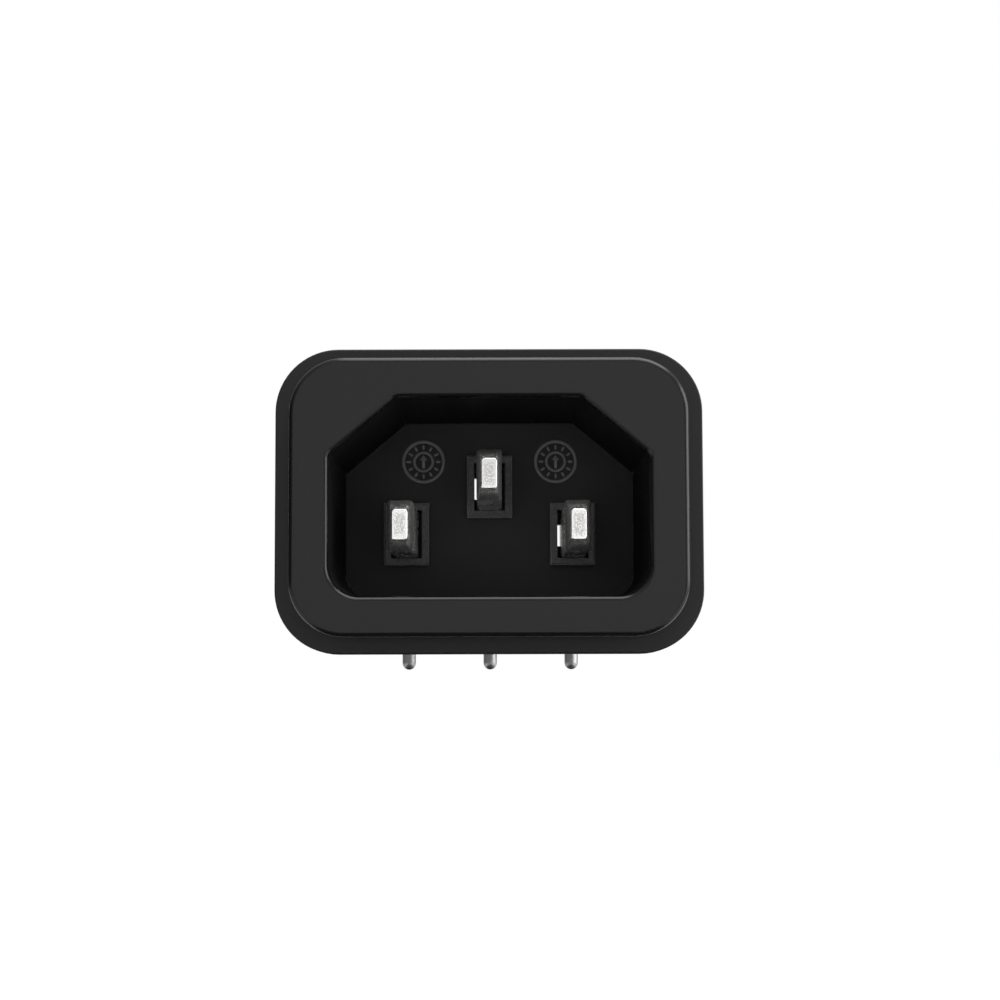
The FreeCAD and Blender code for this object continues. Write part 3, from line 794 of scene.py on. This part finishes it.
def plating_material(metal):
    """Nickel drawn along the blades, worn on the ends, dull on the tapers, tinned on the tails."""
    material, tree, surface = new_material("nickel_plating")
    place, part = object_place(tree)
    blade_lines = rub_marks(tree, place, DRAWN_ALONG_BLADE, DRAWN_SCALE)
    tail_lines = rub_marks(tree, place, DRAWN_ALONG_TAIL, DRAWN_SCALE)
    grain = moulded_grain(tree, place, PLATING_GRAIN)
    burrs = moulded_grain(tree, place, BURR_GRAIN)["Gloss"]
    tail = fade(tree, part["Z"], metal.tail_start - TINNING_BLEND, metal.tail_start + TINNING_BLEND)
    drawn = blend_value(tree, tail, blade_lines, tail_lines)

    # The blades' even spacing lets one fold across and one up serve all three.
    folded = math_node(tree, "WRAP", part["X"], 0.5 * BLADE_PITCH, -0.5 * BLADE_PITCH)
    across = unsigned(tree, folded)
    up = unsigned(tree, less(tree, unsigned(tree, part["Z"]), BLADE_OFFSET))
    middle = times(tree, fade(tree, across, *WORN_ACROSS), fade(tree, up, *WORN_UP))
    end = fade(tree, part["Y"], *BLADE_END)
    taper = less(tree, fade(tree, part["Y"], *TAPER_END), end, clamp=True)
    satin = less(tree, 1.0, plus(tree, end, tail), clamp=True)
    shank = less(tree, satin, taper, clamp=True)
    worn = times(tree, middle, end, ramp(tree, grain["Gloss"], *WORN_GRAIN))
    dull = times(tree, taper, ramp(tree, grain["Gloss"], *GRAIN_BAND, *TAPER_SHARES))
    dull = larger(tree, dull, times(tree, worn, WORN_SHARE))
    dull = larger(tree, dull, times(tree, satin, SATIN_SHARE))
    # Specks near the blades' ends lose most of their metal and show as pale matt flecks: partly
    # rough burrs, partly painted glints.
    rough_edge = times(tree, taper, ramp(tree, part["Y"], *BURR_END, *BURR_SHARES))
    glint_speck = times(tree, rough_edge, ramp(tree, burrs, *BURR_BAND))

    plated = blend_colour(tree, dull, tint(metal.plating), tint(metal.tarnish))
    bare = times(tree, blend_value(tree, shank, 1.0, SHANK_METAL),
                 blend_value(tree, taper, 1.0, TAPER_METAL))
    bright = plus(tree, metal.roughness, times(tree, drawn, DRAWN_ROUGHNESS))
    plain = blend_value(tree, dull, bright, DULL_ROUGHNESS)
    feed(tree, surface, {
        "Base Color": blend_colour(tree, tail, plated, tint(metal.tinning)),
        "Metallic": less(tree, bare, times(tree, glint_speck, BURR_AND_GLINT_LOSS)),
        "Roughness": blend_value(tree, tail, plain, TINNED_ROUGHNESS),
    })
    raise_bump(tree, surface, less(tree, 1.0, drawn), DRAWN_DEPTH)
    return material


def floor_material(studio):
    """A pale floor that takes the shadow and shows white to the camera.

    Reflections see a dark patch under the part and a white glow behind it.
    """
    material, tree, surface = new_material("studio_floor")
    place, part = object_place(tree)
    rays = add_node(tree, "ShaderNodeLightPath").outputs
    pale = blend_colour(tree, noise(tree, place, FIBRE_SCALE),
                        tint(studio.floor_shade, FIBRE_SHARE), tint(studio.floor_shade))
    centred = math_vector(tree, "ADD", place, PATCH_SHIFT)
    off_centre = math_vector(tree, "LENGTH", math_vector(tree, "DIVIDE", centred, PATCH_REACH))
    dimmed = times(tree, rays["Is Glossy Ray"], fade(tree, off_centre, *PATCH_BAND))
    glow = ramp(tree, math_vector(tree, "LENGTH", place), *GLOW_BAND, *GLOW_STRENGTHS)
    seen = larger(tree, rays["Is Camera Ray"], rays["Is Transmission Ray"])
    rear = ramp(tree, part["Y"], *REAR_BAND)
    mirrored = times(tree, rays["Is Glossy Ray"], rear, REAR_STRENGTH)
    feed(tree, surface, {
        "Base Color": blend_colour(tree, dimmed, pale, PATCH_SHADE),
        "Roughness": FLOOR_ROUGHNESS,
        "Specular IOR Level": FLOOR_SPECULAR,
        "Emission Color": WHITE,
        "Emission Strength": larger(tree, times(tree, seen, glow), mirrored),
    })
    return material


# Studio


def studio_world():
    """White behind the part, and a room with a bright ceiling and a dark horizon."""
    world = bpy.data.worlds.new("studio_world")
    world.use_nodes = True
    tree = world.node_tree
    tree.nodes.clear()
    output = add_node(tree, "ShaderNodeOutputWorld")
    direction = add_node(tree, "ShaderNodeTexCoord").outputs["Generated"]
    towards = math_vector(tree, "DOT_PRODUCT", direction, ROOM_UP)
    room = add_node(tree, "ShaderNodeBackground")
    put(tree, room.inputs["Strength"], ramp(tree, towards, *ROOM_BAND, *ROOM_STRENGTHS))
    white = add_node(tree, "ShaderNodeBackground")
    white.inputs["Color"].default_value = WHITE
    backdrop = ramp(tree, parts_of(tree, direction)["Y"], *BACKDROP_BAND)
    rays = add_node(tree, "ShaderNodeLightPath").outputs
    mirrored = larger(tree, rays["Is Glossy Ray"], rays["Is Transmission Ray"])
    shown = larger(tree, rays["Is Camera Ray"], times(tree, mirrored, backdrop))
    mix = add_node(tree, "ShaderNodeMixShader")
    feed(tree, mix, {0: shown, 1: room.outputs["Background"], 2: white.outputs["Background"]})
    put(tree, output.inputs["Surface"], mix.outputs["Shader"])
    return world


def floor_disc(level, rows=8, columns=64):
    """Points and faces of a level disc.

    With t round the disc and r from the inner to the outer reach, a point is r along the turn in
    X and Y at the given level. One face fills the inner ring.
    """
    reach = np.linspace(FLOOR_INNER, FLOOR_OUTER, rows)[:, None]
    turn = np.linspace(0.0, FULL_TURN, columns, endpoint=False)[None, :]
    height = level + 0.0 * reach * turn
    points = np.stack((reach * np.cos(turn), reach * np.sin(turn), height), axis=-1)
    rings = looped_faces(rows, columns)[:(rows - 1) * columns]
    return points.reshape(-1, 3).tolist(), [*rings.tolist(), list(range(columns))]


def add_softbox(name, place, target, size, brightness, mirrored):
    """An area lamp of an even brightness that faces a point."""
    width, height = size
    lamp = bpy.data.lights.new(name, "AREA")
    lamp.shape = "RECTANGLE"
    lamp.size = width
    lamp.size_y = height
    lamp.energy = brightness * math.pi * width * height
    holder = bpy.data.objects.new(name, lamp)
    facing = Vector(target) - Vector(place)
    holder.location = place
    holder.rotation_euler = facing.to_track_quat("-Z", "Y").to_euler()
    holder.visible_camera = False
    holder.visible_glossy = mirrored
    bpy.context.scene.collection.objects.link(holder)


def add_camera(scene):
    """The camera, placed and turned as for the photo."""
    lens = bpy.data.cameras.new("camera")
    lens.sensor_width = CAMERA_SENSOR
    lens.lens = CAMERA_LENS
    lens.clip_start = CAMERA_NEAR
    camera = bpy.data.objects.new("camera", lens)
    aim = Euler((CAMERA_PITCH, 0.0, CAMERA_YAW)).to_matrix()
    camera.rotation_euler = (aim @ Matrix.Rotation(CAMERA_ROLL, 3, "Z")).to_euler()
    camera.location = CAMERA_PLACE
    scene.collection.objects.link(camera)
    scene.camera = camera


def dress_node(name, material):
    """Give a packed node its finish."""
    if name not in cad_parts:
        raise RuntimeError(f"the part has no node {name}")
    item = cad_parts[name]
    item.data.materials.clear()
    item.data.materials.append(material)


# Operators


class INLET_OT_dress_housing(bpy.types.Operator):
    """Give the moulding its satin outside, burnished edges and matt cavity with painted shade, and
    its base wall with painted light
    """

    bl_idname = "inlet.dress_housing"
    bl_label = "Dress Housing"

    def execute(self, context):
        dress_node("housing", moulding_material(context.scene.inlet_plastic))
        return {"FINISHED"}


class INLET_OT_dress_terminals(bpy.types.Operator):
    """Give the three terminals their nickel plating and tinned tails"""

    bl_idname = "inlet.dress_terminals"
    bl_label = "Dress Terminals"

    def execute(self, context):
        material = plating_material(context.scene.inlet_metal)
        for name in TERMINALS:
            dress_node(name, material)
        return {"FINISHED"}


class INLET_OT_mould_dials(bpy.types.Operator):
    """Raise two plain mould dials on the base wall: two rings, twelve ticks and a pointer each"""

    bl_idname = "inlet.mould_dials"
    bl_label = "Mould Dials"

    def execute(self, context):
        marks = context.scene.inlet_marks
        material = mark_material(context.scene.inlet_plastic)
        radius, rise = marks.dial_radius, marks.dial_rise
        low = DIAL_LOW * rise
        for name, side in (("left", -1.0), ("right", 1.0)):
            centre = np.array((side * marks.dial_across, marks.base_wall, marks.dial_up))
            rim = ring_surface(centre, radius, RING_WIDTH * radius, rise)
            hub = ring_surface(centre, HUB_REACH * radius, HUB_WIDTH * radius, low)
            surfaces = [looped_grid(rim), looped_grid(hub)]
            for turn in np.arange(DIAL_TICKS) * FULL_TURN / DIAL_TICKS:
                along = np.array((math.cos(turn), 0.0, math.sin(turn)))
                across = np.array((-math.sin(turn), 0.0, math.cos(turn)))
                tick = pillow_surface(centre + TICK_REACH * radius * along, along, across,
                                      TICK_LENGTH * radius, TICK_WIDTH * radius, low)
                surfaces.append(poled_grid(tick))
            pointer = arrow_surface(centre, POINTER_LENGTH * radius, POINTER_SHAFT * radius,
                                    POINTER_HEAD * radius, rise)
            surfaces.append(poled_grid(pointer))
            make_piece(f"mould_dial_{name}", surfaces, material)
        return {"FINISHED"}


class INLET_OT_parting_bead(bpy.types.Operator):
    """Run the witness line of the mould's parting round the flange's rear edge"""

    bl_idname = "inlet.parting_bead"
    bl_label = "Parting Bead"

    def execute(self, context):
        marks = context.scene.inlet_marks
        material = bpy.data.materials[INSERT_FINISH]
        bead = bead_surface(HOUSING_HIGH.x, HOUSING_HIGH.z, marks.flange_corner,
                            marks.flange_rear - marks.bead_width, marks.bead_width)
        make_piece("parting_bead", [looped_grid(bead)], material)
        return {"FINISHED"}


class INLET_OT_release_marks(bpy.types.Operator):
    """Leave the rings of four ejector pins behind the flange and the gate's stub on the roof"""

    bl_idname = "inlet.release_marks"
    bl_label = "Release Marks"

    def execute(self, context):
        marks = context.scene.inlet_marks
        material = bpy.data.materials[INSERT_FINISH]
        ledge = HOUSING_HIGH.x - PIN_INSET
        centres = [(across, marks.flange_rear, up)
                   for across in (-ledge, ledge) for up in PIN_HEIGHTS]
        rings = [looped_grid(ring_surface(centre, marks.pin_radius, PIN_HALF_WIDTH, PIN_RISE))
                 for centre in centres]
        make_piece("ejector_rings", rings, material)
        stub = vestige_surface(GATE_PLACE, GATE_RADIUS, GATE_RISE)
        make_piece("gate_stub", [poled_grid(stub)], material)
        return {"FINISHED"}


class INLET_OT_set_studio(bpy.types.Operator):
    """Set the floor, the lamps, the white background and the camera"""

    bl_idname = "inlet.set_studio"
    bl_label = "Set Studio"

    def execute(self, context):
        scene = context.scene
        studio = scene.inlet_studio
        points, faces = floor_disc(studio.floor_level)
        mesh = bpy.data.meshes.new("floor")
        mesh.from_pydata(points, [], faces)
        mesh.materials.append(floor_material(studio))
        floor = bpy.data.objects.new("floor", mesh)
        scene.collection.objects.link(floor)

        scene.world = studio_world()
        for name, place, target, size, setting, mirrored in LAMPS:
            add_softbox(name, place, target, size, getattr(studio, setting), mirrored)
        add_camera(scene)
        scene.view_settings.view_transform = "Standard"
        return {"FINISHED"}


class INLET_PT_dresser(bpy.types.Panel):
    """Sidebar panel with the inlet's finishes, marks and studio"""

    bl_idname = "INLET_PT_dresser"
    bl_label = "Charging Inlet"
    bl_space_type = "VIEW_3D"
    bl_region_type = "UI"
    bl_category = "Inlet"

    def draw(self, context):
        layout = self.layout
        for holder, (title, kind) in SETTINGS.items():
            box = layout.box()
            box.label(text=title)
            for name in kind.__annotations__:
                box.prop(getattr(context.scene, holder), name)
        for operator in OPERATORS:
            layout.operator(operator.bl_idname)


SETTINGS = {
    "inlet_plastic": ("Moulding", InletPlasticSettings),
    "inlet_metal": ("Terminals", InletMetalSettings),
    "inlet_marks": ("Mould marks", InletMarkSettings),
    "inlet_studio": ("Studio", InletStudioSettings),
}
OPERATORS = (
    INLET_OT_dress_housing,
    INLET_OT_dress_terminals,
    INLET_OT_mould_dials,
    INLET_OT_parting_bead,
    INLET_OT_release_marks,
    INLET_OT_set_studio,
)
CLASSES = (*(kind for _, kind in SETTINGS.values()), *OPERATORS, INLET_PT_dresser)


def register():
    """Add the settings, the operators and the panel."""
    for kind in CLASSES:
        bpy.utils.register_class(kind)
    for holder, (title, kind) in SETTINGS.items():
        pointer = bpy.props.PointerProperty(name=title, description=kind.__doc__, type=kind)
        setattr(bpy.types.Scene, holder, pointer)


def unregister():
    """Take them away again."""
    for holder in SETTINGS:
        delattr(bpy.types.Scene, holder)
    for kind in reversed(CLASSES):
        bpy.utils.unregister_class(kind)


def main():
    """Dress the part and set the studio."""
    register()
    bpy.ops.inlet.dress_housing()
    bpy.ops.inlet.dress_terminals()
    bpy.ops.inlet.mould_dials()
    bpy.ops.inlet.parting_bead()
    bpy.ops.inlet.release_marks()
    bpy.ops.inlet.set_studio()


if __name__ == "__main__":
    main()
